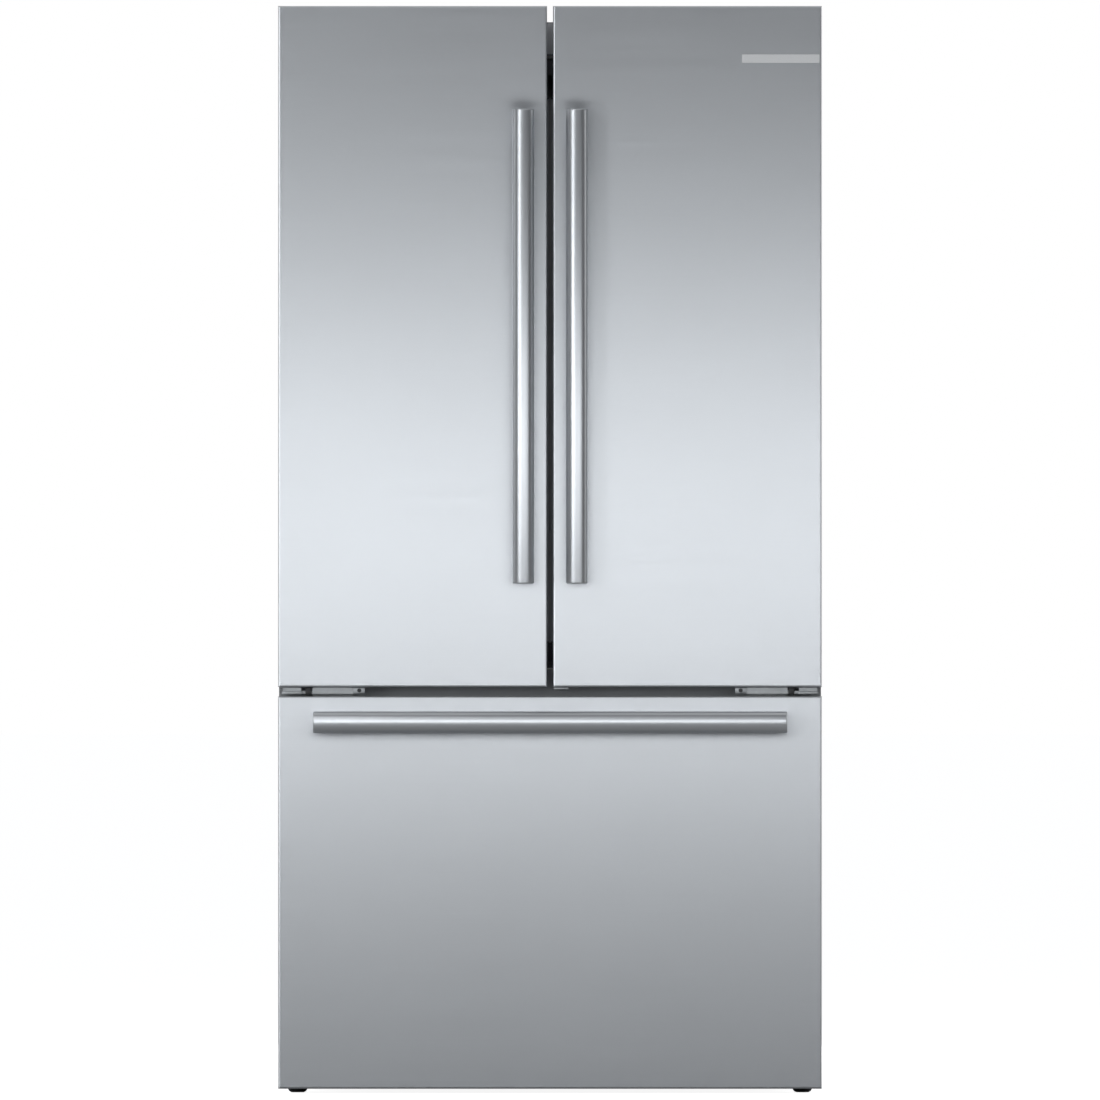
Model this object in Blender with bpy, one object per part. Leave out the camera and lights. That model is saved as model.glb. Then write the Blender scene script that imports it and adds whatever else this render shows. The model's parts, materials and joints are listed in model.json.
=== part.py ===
"""French door refrigerator with a bottom freezer drawer, built as separate named pieces.

Metres, +Z up. The front faces -Y, the origin is on the floor under the middle of the object.
"""
import math

import bmesh
import bpy
from mathutils import Matrix, Vector

# ---------------------------------------------------------------- driving dimensions
WIDTH = 0.905
HALF_W = WIDTH / 2
FRONT_Y = -0.395            # front of the bar handles
DOOR_FACE = -0.331          # steel face of doors and freezer front
DOOR_BACK = -0.256          # rear plane of the doors
CAB_FRONT = -0.244          # front plane of the cabinet
CAB_BACK = 0.378            # rear plane of the foamed body
REAR_Y = 0.395              # rearmost face, on the machine cover
GAP = 0.0003                # clearance between pieces that touch
SHEET = 0.0012              # steel sheet
PAST = 0.010                # how far a cutter runs past the piece it cuts
BITE = 0.0005               # how far joined boxes reach into each other
PIN_PLAY = 0.0006           # radial play of a pin in its bore

DOOR_BOTTOM = 0.6766
DOOR_TOP = 1.8105
DRAWER_BOTTOM = 0.0078
DRAWER_TOP = 0.6611
DOOR_GAP = 0.010            # between the two doors
CAB_TOP = 1.785
CAB_FLOOR = 0.060
BASE_LOW = 0.046
FLANGE_BACK = CAB_FRONT + SHEET     # rear of the folded steel round the two openings
LINER_FRONT = CAB_FRONT + 0.0005    # front edges of the two liners
FLANGE_X = 0.4068
FOAM_X = 0.4503

INNER_X = 0.407             # half width of both compartments, before the liners
INNER_BACK = 0.320
FRIDGE_FLOOR = 0.706
FRIDGE_TOP = 1.728
FREEZER_FLOOR = 0.110
FREEZER_TOP = 0.632
STEP_FRONT = 0.070          # the freezer floor steps up here over the machine compartment
STEP_TOP = 0.300
MACHINE_FRONT = 0.120
MACHINE_TOP = 0.250
MACHINE_X = 0.430           # half width of the machine space
LINER = 0.0015
LINER_X = INNER_X - GAP - LINER         # inside faces of the two liners
LINER_BACK = INNER_BACK - GAP - LINER
FRIDGE_CEILING = FRIDGE_TOP - GAP - LINER
FREEZER_CEILING = FREEZER_TOP - GAP - LINER
FRIDGE_BASE = FRIDGE_FLOOR + GAP + LINER
STEP_LEDGE = STEP_TOP + GAP + LINER

SHELF_FRONT = -0.112
SHELF_BACK = 0.286
SHELF_X = 0.403
SHELF_T = 0.010
HALF_SHELF_X = 0.004        # inner edge of the two half-width shelves
LEFT_SHELF_Z = 1.430        # undersides of the shelves
RIGHT_SHELF_Z = 1.360
WIDE_SHELF_Z = 1.130
COVER_Z = 0.938
ARM_IN = 0.080              # shelf arms, and the slots in the rear wall that they hook into
ARM_OUT = 0.385
ARM_W = 0.003
ARM_NOSE = 0.008            # depth of an arm at the front and at the wall
ARM_DROP = 0.040
HOOK_H = 0.008
HOOK_LIP = 0.006            # how far a hook reaches down behind the wall
HOOK_FRONT = INNER_BACK + GAP
HOOK_BACK = INNER_BACK + 0.0035
SLOT_W = 0.0042
SLOT_RISE = 0.008           # height of a slot above the underside of its shelf
POCKET_ROOM = 0.001         # room round a hook inside the foam
CRISPER_X = 0.399
CRISPER_TOP = 0.930
DUCT_X = 0.065
DUCT_Z = (0.960, 1.700)
LIGHT_X = 0.260
LIGHT_Y = (-0.100, 0.180)
LIGHT_DEPTH = 0.026
COIL_COVER_Y = (0.262, 0.267)           # cover in front of the evaporator
COIL_X = 0.260
COIL_FRONT = 0.272
COIL_Z = (0.340, 0.560)

HINGE_X = 0.4225            # door hinge axes, from the middle
HINGE_Y = -0.301
NOTCH_FLOOR = 1.783         # recess for the top hinge in each door's rear top corner
HINGE_PIN_R = 0.005
HINGE_HOLE_R = HINGE_PIN_R + PIN_PLAY

DYKE_BACK = -0.196          # rear edge of the ribs that frame each door's inner liner
DYKE_WALL = 0.012
DYKE_OUT = 0.395
DYKE_IN = 0.055
DYKE_LOW = 0.722
DYKE_HIGH = 1.712

BIN_FRONT = -0.130           # side of the bins that faces into the cabinet
BIN_WALL = 0.003
BIN_GAP = 0.001
LUG = 0.005                 # lugs on the ribs that carry the bins
LEFT_BINS = ((1.380, 0.100), (0.985, 0.110))    # height of the underside, and the bin's own height
RIGHT_BINS = ((1.440, 0.115), (0.985, 0.110))
LID_Y = -0.2495             # hinge axis of the dairy box's lid
LID_Z = 1.5578
LID_PIN_R = 0.0015

GASKET_BACK = -0.2445
GASKET_OUT = 0.427
GASKET_WALL = 0.016
GASKET_IN = 0.008
GASKET_LOW = DYKE_LOW - 0.030
GASKET_HIGH = DYKE_HIGH + 0.034
LIP_X = (0.001, 0.012)      # lip of each gasket, beside the gap between the doors
LIP_Z = (0.750, 1.659)
FREEZER_RIBS = (-0.380, 0.380, 0.130, 0.612)    # low x, high x, low z, high z
FREEZER_SEAL = (-0.437, 0.437, 0.092, 0.648)
BADGE_X = (0.3196, 0.4487)
BADGE_Z = (1.7157, 1.7300)

HANDLE_W = 0.0356
HANDLE_D = 0.024
HANDLE_X = 0.0446
HANDLE_LOW = 0.849
HANDLE_HIGH = 1.6386
POST_LENGTH = 0.054
FREEZER_HANDLE_Z = 0.6184
FREEZER_HANDLE_X = 0.3945

MULLION_X = -0.030          # hinge axis of the flipping centre mullion
MULLION_Y = -0.2375
MULLION_LOW = 0.745
MULLION_HIGH = 1.695
MULLION_PIN_R = 0.002

RAIL_LOW = 0.345            # middle rails of the freezer drawer's runners
RAIL_HIGH = 0.367
FRAME_LOW = 0.347
FRAME_HIGH = 0.365
FRAME_IN = 0.372            # inner and outer faces of the moving drawer frame
FRAME_OUT = 0.3835
TONGUE_X = 0.3890           # outer edge of the frame's tongue, in the middle rail's groove
RUNNER_IN = 0.3950          # inner faces of the fixed channel and of its web
RUNNER_WEB = 0.4020
MIDDLE_IN = 0.3840
MIDDLE_OUT = 0.4014
SLIDE_GAP = 0.0005
BASKET_X = 0.370
TRAY_X = 0.365
TRAY_Z = 0.400
TRAY_LEG_X = 0.3780
LOAD_FRONT = -0.184         # front of the basket and the tray

PLATE_LOW = 0.6655          # centre hinge plate, between the doors and the drawer
PLATE_HIGH = 0.6700
PLATE_FRONT = -0.320

FOOT_X = 0.421
FOOT_Y = -0.205
FOOT_R = 0.0165
STUD_R = 0.006
STUD_TOP = 0.058
ROLLER_X = 0.385
ROLLER_Y = 0.325
ROLLER_R = 0.022
AXLE_R = 0.004
FAN_CENTRE = (0.02, 0.250, 0.150)
FAN_HUB_R = 0.022
FAN_BLADES = 5
FAN_PITCH = 22              # degrees
BLADE_ROOT = 0.015
BLADE_TIP = 0.074
BLADE_HALF_W = 0.017
SHROUD_X = 0.045            # plate with the hole that the fan turns in
SHROUD_HOLE_R = 0.078
SPINDLE_R = 0.003
SHROUD_HALF = 0.098
SHROUD_TOP = 0.240
MOTOR_R = 0.020
STRUT_HALF = 0.006
COMPRESSOR = (-0.290, 0.250)
COMPRESSOR_PLATE = (0.085, 0.060)       # half sizes of the mounting plate
CONDENSER_X = (0.12, 0.40)
CONDENSER_Y = (0.150, 0.345)
CONDENSER_TOP = 0.235
FIN_PITCH = 0.026
COVER_X = 0.4425            # rear cover of the machine space
COVER_LOW = 0.048
COVER_HIGH = MACHINE_TOP + 0.008
COVER_WALL = 0.0015
GLAND_X = -0.41
GLAND_Z = 0.300
DRAIN_PAN = ((-0.17, 0.135), (-0.05, 0.36))     # two corners
DRAIN_PAN_TOP = 0.070
ROUND = 24                  # sides of a round piece

AXES = {"X": (1, 2, 0), "Y": (0, 2, 1), "Z": (0, 1, 2)}


# ---------------------------------------------------------------- helpers
def material(name, colour, roughness, metallic=0.0, alpha=1.0):
    mat = bpy.data.materials.new(name)
    mat.use_nodes = True
    shader = mat.node_tree.nodes["Principled BSDF"]
    shader.inputs["Base Color"].default_value = (*colour, 1.0)
    shader.inputs["Roughness"].default_value = roughness
    shader.inputs["Metallic"].default_value = metallic
    shader.inputs["Alpha"].default_value = alpha
    return mat


def add_object(name, bm, mat=None):
    """Turn a bmesh into a linked object with outward faces."""
    bmesh.ops.recalc_face_normals(bm, faces=bm.faces)
    mesh = bpy.data.meshes.new(name)
    bm.to_mesh(mesh)
    bm.free()
    obj = bpy.data.objects.new(name, mesh)
    bpy.context.collection.objects.link(obj)
    if mat:
        mesh.materials.append(mat)
    return obj


def add_box(bm, low, high):
    """Add one closed box between two corners."""
    size = Vector(high) - Vector(low)
    middle = (Vector(high) + Vector(low)) / 2
    matrix = Matrix.Translation(middle) @ Matrix.Diagonal((*size, 1.0))
    return bmesh.ops.create_cube(bm, size=1.0, matrix=matrix)["verts"]


def box(name, low, high, mat=None, radius=0.0, where=None):
    """A box; where(edge) picks the edges that are rounded."""
    bm = bmesh.new()
    add_box(bm, low, high)
    if radius:
        edges = [e for e in bm.edges if where is None or where(e)]
        bmesh.ops.bevel(bm, geom=edges, offset=radius, segments=3, profile=0.5, affect="EDGES")
    return add_object(name, bm, mat)


def outline_points(outline, axis, offset):
    first, second, along = AXES[axis]
    points = []
    for a, b in outline:
        point = [0.0, 0.0, 0.0]
        point[first] = a
        point[second] = b
        point[along] = offset
        points.append(point)
    return points


def prism(name, outline, axis, start, end, mat=None):
    """Extrude a closed outline along a world axis."""
    bm = bmesh.new()
    bottom = [bm.verts.new(p) for p in outline_points(outline, axis, start)]
    face = bm.faces.new(bottom)
    grown = bmesh.ops.extrude_face_region(bm, geom=[face])["geom"]
    step = [0.0, 0.0, 0.0]
    step[AXES[axis][2]] = end - start
    moved = [v for v in grown if isinstance(v, bmesh.types.BMVert)]
    bmesh.ops.translate(bm, verts=moved, vec=step)
    return add_object(name, bm, mat)


def lathe(name, profile, axis, centre, mat=None, segments=ROUND):
    """Turn a profile of (radius, height) points about an axis through centre."""
    first, second, along = AXES[axis]
    bm = bmesh.new()
    rings = []
    for radius, height in profile:
        ring = []
        count = segments if radius > 0 else 1
        for index in range(count):
            angle = 2 * math.pi * index / segments
            point = list(centre)
            point[first] += radius * math.cos(angle)
            point[second] += radius * math.sin(angle)
            point[along] += height
            ring.append(bm.verts.new(point))
        rings.append(ring)
    for lower, upper in zip(rings, rings[1:]):
        for index in range(segments):
            after = (index + 1) % segments
            corners = [lower[index % len(lower)], lower[after % len(lower)],
                       upper[after % len(upper)], upper[index % len(upper)]]
            unique = list(dict.fromkeys(corners))
            if len(unique) > 2:
                bm.faces.new(unique)
    obj = add_object(name, bm, mat)
    obj.data.shade_smooth()
    obj.data.set_sharp_from_angle(angle=math.radians(35))
    return obj


def cylinder(name, axis, centre, radius, low, high, mat=None, segments=ROUND):
    profile = [(0, low), (radius, low), (radius, high), (0, high)]
    return lathe(name, profile, axis, centre, mat, segments)


def combine(obj, tool, operation):
    """Cut or join another object with a Boolean, and hide the tool."""
    tool.hide_render = True
    tool.display_type = "WIRE"
    mod = obj.modifiers.new(operation.lower(), "BOOLEAN")
    mod.operation = operation
    mod.object = tool
    mod.solver = "EXACT"
    return obj


def combine_boxes(obj, boxes, operation):
    bm = bmesh.new()
    for low, high in boxes:
        add_box(bm, low, high)
    return combine(obj, add_object(f"{obj.name}_tool", bm), operation)


def cut(obj, *boxes):
    return combine_boxes(obj, boxes, "DIFFERENCE")


def join(obj, *boxes):
    return combine_boxes(obj, boxes, "UNION")


def tray(name, low, high, wall, mat):
    """A box that is open at the top."""
    obj = box(name, low, high, mat)
    inner_low = [v + wall for v in low]
    inner_high = [high[0] - wall, high[1] - wall, high[2] + wall]
    return cut(obj, (inner_low, inner_high))


def attach(pieces, name, location):
    """Parent pieces to an empty on their joint's axis, without moving them."""
    empty = bpy.data.objects.new(name, None)
    empty.location = location
    bpy.context.collection.objects.link(empty)
    for piece in pieces:
        piece.parent = empty
        piece.location = [-v for v in location]


def is_front(edge):
    return all(abs(v.co.y - DOOR_FACE) < 1e-6 for v in edge.verts)


def mirrored(side, near, far):
    """Two X values ordered low to high on the side -1 or +1."""
    return sorted((side * near, side * far))


# ---------------------------------------------------------------- materials
STEEL = (0.62, 0.64, 0.66)


def make_materials():
    return {
        "steel": material("brushed_steel", STEEL, 0.32, 1.0),
        "handle": material("handle_steel", (0.70, 0.72, 0.74), 0.24, 1.0),
        "grey": material("painted_grey", (0.30, 0.31, 0.32), 0.5),
        "zinc": material("zinc_plate", (0.55, 0.56, 0.57), 0.4, 1.0),
        "foam": material("foam", (0.82, 0.76, 0.55), 0.9),
        "white": material("white_liner", (0.88, 0.89, 0.90), 0.35),
        "rubber": material("gasket_rubber", (0.10, 0.105, 0.11), 0.6),
        "dark": material("dark_plastic", (0.03, 0.03, 0.032), 0.5),
        "clear": material("clear_plastic", (0.85, 0.90, 0.93), 0.1, 0.0, 0.4),
        "glass": material("shelf_glass", (0.80, 0.90, 0.88), 0.05, 0.0, 0.35),
        "badge": material("badge_metal", (0.80, 0.81, 0.82), 0.2, 1.0),
        "black": material("compressor_black", (0.02, 0.02, 0.02), 0.4),
        "alu": material("fin_aluminium", (0.75, 0.76, 0.77), 0.35, 1.0),
    }


# ---------------------------------------------------------------- cabinet
def freezer_outline(margin):
    """The stepped side outline of the freezer space, grown inwards by margin."""
    front = CAB_FRONT - PAST
    return [
        (front, FREEZER_FLOOR + margin),
        (STEP_FRONT - margin, FREEZER_FLOOR + margin),
        (STEP_FRONT - margin, STEP_TOP + margin),
        (INNER_BACK - margin, STEP_TOP + margin),
        (INNER_BACK - margin, FREEZER_TOP - margin),
        (front, FREEZER_TOP - margin),
    ]


def shelf_arms():
    """Each shelf's arms as (name, arm positions, underside)."""
    return (
        ("left_upper_shelf", (-ARM_OUT, -ARM_IN), LEFT_SHELF_Z),
        ("right_upper_shelf", (ARM_IN, ARM_OUT), RIGHT_SHELF_Z),
        ("wide_lower_shelf", (-ARM_OUT, -ARM_IN, ARM_IN, ARM_OUT), WIDE_SHELF_Z),
    )


def wall_slots(width, front, rear, below, above):
    """A box through the rear wall at every shelf hook."""
    slots = []
    for _, arms, z in shelf_arms():
        seat = z - HOOK_H
        for x in arms:
            slots.append(((x - width / 2, front, seat - below), (x + width / 2, rear, z + above)))
    return slots


def make_foam(mats):
    foam = box("cabinet_foam", (-FOAM_X, FLANGE_BACK + GAP, CAB_FLOOR + GAP),
               (FOAM_X, CAB_BACK, CAB_TOP - SHEET - GAP), mats["foam"])
    cut(foam, ((-INNER_X, CAB_FRONT - PAST, FRIDGE_FLOOR), (INNER_X, INNER_BACK, FRIDGE_TOP)))
    freezer = prism("freezer_space_tool", freezer_outline(0.0), "X", -INNER_X, INNER_X)
    combine(foam, freezer, "DIFFERENCE")
    cut(foam, ((-MACHINE_X, MACHINE_FRONT, 0.0), (MACHINE_X, REAR_Y, MACHINE_TOP)))
    pockets = wall_slots(SLOT_W + 2 * POCKET_ROOM, INNER_BACK - PAST, HOOK_BACK + POCKET_ROOM,
                         HOOK_LIP + POCKET_ROOM, SLOT_RISE + POCKET_ROOM)
    return cut(foam, *pockets)


def make_liners(mats):
    """Fridge liner with ledges for the crisper cover and slots for the shelves; freezer liner."""
    fridge = box("fridge_liner", (-INNER_X + GAP, LINER_FRONT, FRIDGE_FLOOR + GAP),
                 (INNER_X - GAP, INNER_BACK - GAP, FRIDGE_TOP - GAP), mats["white"])
    cut(fridge, ((-LINER_X, CAB_FRONT - PAST, FRIDGE_BASE), (LINER_X, LINER_BACK, FRIDGE_CEILING)))
    ledges = []
    for side in (-1, 1):
        low, high = mirrored(side, CRISPER_X + SLIDE_GAP, LINER_X + LINER / 2)
        ledges.append(((low, SHELF_FRONT, COVER_Z - 0.014), (high, SHELF_BACK, COVER_Z - GAP)))
    join(fridge, *ledges)
    cut(fridge, *wall_slots(SLOT_W, LINER_BACK - PAST, INNER_BACK + PAST, GAP, SLOT_RISE))
    freezer = prism("freezer_liner", freezer_outline(GAP), "X", -INNER_X + GAP, INNER_X - GAP,
                    mats["white"])
    cut(freezer, ((-HALF_W, CAB_FRONT - 2 * PAST, 0.0), (HALF_W, LINER_FRONT, CAB_TOP)))
    hollow = prism("freezer_liner_hollow", freezer_outline(GAP + LINER), "X", -LINER_X, LINER_X)
    combine(freezer, hollow, "DIFFERENCE")


def make_casing(mats):
    for side, label in ((-1, "left"), (1, "right")):
        low, high = mirrored(side, FOAM_X + GAP, FOAM_X + GAP + SHEET)
        panel = box(f"{label}_side_panel", (low, CAB_FRONT, CAB_FLOOR + GAP),
                    (high, CAB_BACK, CAB_TOP), mats["grey"])
        low, high = mirrored(side, FLANGE_X + 2 * GAP, FOAM_X + GAP + SHEET / 2)
        join(panel, ((low, CAB_FRONT, CAB_FLOOR + GAP), (high, FLANGE_BACK, CAB_TOP - SHEET - GAP)))
    top = box("top_panel", (-FOAM_X, CAB_FRONT, CAB_TOP - SHEET), (FOAM_X, CAB_BACK, CAB_TOP),
              mats["grey"])
    join(top, ((-FLANGE_X, CAB_FRONT, FRIDGE_TOP + GAP), (FLANGE_X, FLANGE_BACK, CAB_TOP - SHEET / 2)))
    box("rear_panel", (-FOAM_X, CAB_BACK + GAP, MACHINE_TOP + 0.012),
        (FOAM_X, CAB_BACK + GAP + SHEET, CAB_TOP - 0.002), mats["zinc"])
    box("divider_rail", (-FLANGE_X, CAB_FRONT, FREEZER_TOP + GAP),
        (FLANGE_X, FLANGE_BACK, FRIDGE_FLOOR - GAP), mats["grey"])


def make_base(mats):
    """Base plate with a front flange, sockets for the feet, roller forks and the fan's shroud."""
    base = box("base_frame", (-FOAM_X, CAB_FRONT, BASE_LOW), (FOAM_X, CAB_BACK, CAB_FLOOR),
               mats["grey"])
    join(base, ((-FLANGE_X, CAB_FRONT, BASE_LOW + 0.003), (FLANGE_X, FLANGE_BACK, FREEZER_FLOOR - GAP)))
    forks = []
    for side in (-1, 1):
        for offset in (-0.019, 0.019):
            middle = side * ROLLER_X + offset
            forks.append(((middle - 0.003, ROLLER_Y - 0.012, 0.012),
                          (middle + 0.003, ROLLER_Y + 0.012, 0.050)))
    join(base, *forks)
    for side in (-1, 1):
        hole = cylinder("roller_axle_hole", "X", (side * ROLLER_X, ROLLER_Y, ROLLER_R), AXLE_R + PIN_PLAY,
                        -0.03, 0.03)
        combine(base, hole, "DIFFERENCE")
        socket = cylinder("foot_socket", "Z", (side * FOOT_X, FOOT_Y, 0), STUD_R + PIN_PLAY,
                          BASE_LOW - PAST, STUD_TOP + SLIDE_GAP)
        combine(base, socket, "DIFFERENCE")
    add_fan_mount(base)


def add_fan_mount(base):
    """Shroud plate on the base, with a motor held behind the fan on an upright strut."""
    _, y, z = FAN_CENTRE
    shroud = box("fan_shroud", (SHROUD_X, y - SHROUD_HALF, CAB_FLOOR - 0.002),
                 (SHROUD_X + 0.015, y + SHROUD_HALF, SHROUD_TOP))
    hole = cylinder("fan_shroud_hole", "X", FAN_CENTRE, SHROUD_HOLE_R, -0.1, 0.1)
    combine(shroud, hole, "DIFFERENCE")
    combine(base, shroud, "UNION")
    strut_x = SHROUD_X + 0.022
    reach = SHROUD_HOLE_R + 0.008
    foot_y = STRUT_HALF - BITE
    feet = []
    for low in (z + SHROUD_HOLE_R + 0.002, z - reach + BITE):
        feet.append(((SHROUD_X + 0.013, y - foot_y, low), (strut_x + 0.002, y + foot_y, low + 0.0055)))
    join(base, *feet)
    join(base, ((strut_x, y - STRUT_HALF, z - reach), (strut_x + 0.004, y + STRUT_HALF, z + reach)))
    combine(base, cylinder("fan_motor", "X", FAN_CENTRE, MOTOR_R, 0.046, 0.080), "UNION")
    combine(base, cylinder("fan_spindle", "X", FAN_CENTRE, SPINDLE_R, 0.034, 0.050), "UNION")


def vent_slots():
    """Two rows of upright slots across the machine cover."""
    slots = []
    for index in range(16):
        x = -0.375 + index * 0.05
        for z in (0.080, 0.160):
            slots.append(((x - 0.006, CAB_BACK - PAST, z), (x + 0.006, REAR_Y + PAST, z + 0.055)))
    return slots


def make_machine_space(mats):
    cover = box("machine_cover", (-COVER_X, CAB_BACK + GAP, COVER_LOW), (COVER_X, REAR_Y, COVER_HIGH),
                mats["dark"])
    inside = COVER_X - COVER_WALL
    cut(cover, ((-inside, CAB_BACK - PAST, COVER_LOW + COVER_WALL),
                (inside, REAR_Y - COVER_WALL, COVER_HIGH - COVER_WALL)))
    cut(cover, *vent_slots())
    low, high = DRAIN_PAN
    box("drain_pan", (*low, CAB_FLOOR + GAP), (*high, DRAIN_PAN_TOP), mats["dark"])
    make_compressor(mats)
    make_condenser(mats)
    gland = [(0, 0), (0.014, 0), (0.014, 0.006), (0.009, 0.008), (0.009, 0.0150), (0, 0.0150)]
    lathe("cord_gland", gland, "Y", (GLAND_X, CAB_BACK + GAP + SHEET + GAP, GLAND_Z), mats["dark"], 16)


def make_condenser(mats):
    """Block with upright air gaps between its fins, on a solid foot."""
    x0, x1 = CONDENSER_X
    y0, y1 = CONDENSER_Y
    condenser = box("condenser", (x0, y0, CAB_FLOOR + GAP), (x1, y1, CONDENSER_TOP), mats["black"])
    gaps = []
    for index in range(10):
        x = x0 + 0.010 + index * FIN_PITCH
        gaps.append(((x, y0 - PAST, CAB_FLOOR + 0.015), (x + 0.010, y1 + PAST, CONDENSER_TOP + PAST)))
    return cut(condenser, *gaps)


def make_compressor(mats):
    """Domed shell on a mounting plate with four feet."""
    x, y = COMPRESSOR
    half_x, half_y = COMPRESSOR_PLATE
    dome = [(0, 0), (0.062, 0), (0.078, 0.012), (0.080, 0.055), (0.078, 0.110),
            (0.060, 0.140), (0.030, 0.150), (0, 0.151)]
    shell = lathe("compressor", dome, "Z", (x, y, CAB_FLOOR + 0.004), mats["black"])
    join(shell, ((x - half_x, y - half_y, CAB_FLOOR + 0.0055), (x + half_x, y + half_y, CAB_FLOOR + 0.0090)))
    foot = 0.008
    feet = []
    for foot_x in (x - half_x + 0.010, x + half_x - 0.010):
        for foot_y in (y - half_y + 0.010, y + half_y - 0.010):
            feet.append(((foot_x - foot, foot_y - foot, CAB_FLOOR + GAP),
                         (foot_x + foot, foot_y + foot, CAB_FLOOR + 0.0065)))
    return join(shell, *feet)


def make_fan(mats):
    """Hub on the motor's spindle, with five flat pitched blades."""
    x, y, z = FAN_CENTRE
    hub = cylinder("condenser_fan", "X", FAN_CENTRE, FAN_HUB_R, 0.028, 0.046 - GAP, mats["dark"])
    bm = bmesh.new()
    for index in range(FAN_BLADES):
        verts = add_box(bm, (-SHEET, -BLADE_HALF_W, BLADE_ROOT), (SHEET, BLADE_HALF_W, BLADE_TIP))
        turn = Matrix.Rotation(math.radians(FAN_PITCH), 4, "Z")
        spin = Matrix.Rotation(2 * math.pi * index / FAN_BLADES, 4, "X")
        place = Matrix.Translation((x + 0.037, y, z)) @ spin @ turn
        bmesh.ops.transform(bm, matrix=place, verts=verts)
    combine(hub, add_object("condenser_fan_blades", bm), "UNION")
    bore = cylinder("condenser_fan_bore", "X", FAN_CENTRE, SPINDLE_R + PIN_PLAY, 0.033, 0.060)
    combine(hub, bore, "DIFFERENCE")
    attach([hub], "condenser_fan_axis", FAN_CENTRE)


# ---------------------------------------------------------------- interior
def make_interior(mats):
    box("air_duct", (-DUCT_X, SHELF_BACK + 0.004, DUCT_Z[0]), (DUCT_X, LINER_BACK - GAP, DUCT_Z[1]),
        mats["white"], 0.006, lambda e: abs((e.verts[0].co - e.verts[1].co).normalized().z) > 0.9)
    box("light_housing", (-LIGHT_X, LIGHT_Y[0], FRIDGE_CEILING - LIGHT_DEPTH),
        (LIGHT_X, LIGHT_Y[1], FRIDGE_CEILING - GAP), mats["clear"])
    box("evaporator_cover", (-LINER_X + GAP, COIL_COVER_Y[0], STEP_LEDGE + GAP),
        (LINER_X - GAP, COIL_COVER_Y[1], FREEZER_CEILING - GAP), mats["white"])
    box("evaporator", (-COIL_X, COIL_FRONT, COIL_Z[0]), (COIL_X, LINER_BACK - GAP, COIL_Z[1]), mats["alu"])
    box("crisper_cover", (-SHELF_X, SHELF_FRONT, COVER_Z), (SHELF_X, SHELF_BACK, COVER_Z + 0.012),
        mats["glass"])


def make_shelves(mats):
    """Glass shelves on tapered arms that hook through the rear wall."""
    edges = {
        "left_upper_shelf": (-SHELF_X, -HALF_SHELF_X),
        "right_upper_shelf": (HALF_SHELF_X, SHELF_X),
        "wide_lower_shelf": (-SHELF_X, SHELF_X),
    }
    for name, arms, z in shelf_arms():
        x0, x1 = edges[name]
        shelf = box(name, (x0, SHELF_FRONT, z), (x1, SHELF_BACK, z + SHELF_T), mats["glass"])
        wall = LINER_BACK - GAP
        nose = SHELF_FRONT + 0.015
        outline = [(nose, z + 0.001), (nose, z - ARM_NOSE), (wall, z - ARM_DROP), (wall, z + 0.001)]
        seat = z - HOOK_H
        for x in arms:
            x_low, x_high = x - ARM_W / 2, x + ARM_W / 2
            combine(shelf, prism(f"{name}_arm", outline, "X", x_low, x_high), "UNION")
            join(shelf, ((x_low, wall - 0.004, seat), (x_high, HOOK_BACK, z + 0.0005)))
            join(shelf, ((x_low, HOOK_FRONT, seat - HOOK_LIP), (x_high, HOOK_BACK, seat + 0.001)))


def make_crispers(mats):
    for side, label in ((-1, "left"), (1, "right")):
        low, high = mirrored(side, 0.008, CRISPER_X)
        drawer = tray(f"{label}_crisper", (low, -0.090, FRIDGE_BASE + GAP), (high, 0.285, CRISPER_TOP),
                      0.003, mats["clear"])
        attach([drawer], f"{label}_crisper_axis", (side * 0.2035, 0.0975, 0.8))


# ---------------------------------------------------------------- door parts
def make_skin(name, x0, x1, z0, z1, mats):
    """Folded steel face: a front with four side returns, open at the back."""
    skin = box(name, (x0, DOOR_FACE, z0), (x1, DOOR_BACK, z1), mats["steel"], 0.003, is_front)
    cut(skin, ((x0 + SHEET, DOOR_FACE + SHEET, z0 + SHEET), (x1 - SHEET, 0.0, z1 - SHEET)))
    return skin


def ring_hole(x0, x1, z0, z1, y0, y1, wall):
    """The box that cuts the hole in a rectangular ring."""
    return ((x0 + wall, y0 - PAST, z0 + wall), (x1 - wall, y1 + PAST, z1 - wall))


def make_ring(name, x0, x1, z0, z1, y0, y1, wall, mat):
    ring = box(name, (x0, y0, z0), (x1, y1, z1), mat)
    return cut(ring, ring_hole(x0, x1, z0, z1, y0, y1, wall))


def make_inner(name, x0, x1, z0, z1, dyke, mats):
    """Foamed inner door: a slab inside the skin with ribs framing the shelf area."""
    edge = SHEET + GAP
    inner = box(name, (x0 + edge, DOOR_FACE + edge, z0 + edge),
                (x1 - edge, DOOR_BACK - 0.0002, z1 - edge), mats["white"])
    dx0, dx1, dz0, dz1 = dyke
    bm = bmesh.new()
    add_box(bm, (dx0, DOOR_BACK - 0.004, dz0), (dx1, DYKE_BACK, dz1))
    ribs = add_object(f"{name}_ribs", bm)
    cut(ribs, ring_hole(dx0, dx1, dz0, dz1, DOOR_BACK, DYKE_BACK, DYKE_WALL))
    return combine(inner, ribs, "UNION")


def d_section(width, depth, steps=14):
    """Handle section in (across, forward): flat back, softly crowned front."""
    half = width / 2
    points = [(half, 0.0), (half, depth * 0.45)]
    for index in range(1, steps):
        angle = math.pi * index / steps
        points.append((half * math.cos(angle), depth * (0.45 + 0.55 * math.sin(angle))))
    points += [(-half, depth * 0.45), (-half, 0.0)]
    return points


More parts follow.
